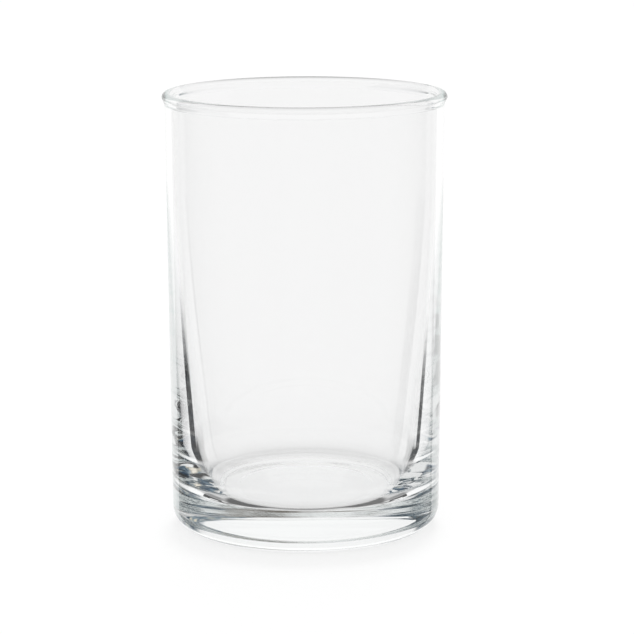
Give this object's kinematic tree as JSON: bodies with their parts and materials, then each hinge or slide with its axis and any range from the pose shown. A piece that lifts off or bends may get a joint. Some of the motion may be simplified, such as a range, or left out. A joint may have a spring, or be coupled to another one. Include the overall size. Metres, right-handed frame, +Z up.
{
  "type": "dessert glass",
  "caption": "Small straight-sided clear glass tumbler with a rounded rim bead, a wall that thickens downwards and a heavy flat base.",
  "frame": {"origin": "on the axis of the glass, at the level of the flat ring it stands on", "axes": "+Z up along the axis, from the base to the rim; X and Y are any two level directions, because the glass is round"},
  "size_m": [0.05, 0.05, 0.0776],
  "materials": {
    "clear_glass": "clear, colourless, fire-polished, with a very faint green-grey in the thick base"
  },
  "bodies": {
    "root": {"tumbler": "clear_glass"}
  },
  "joints": []
}
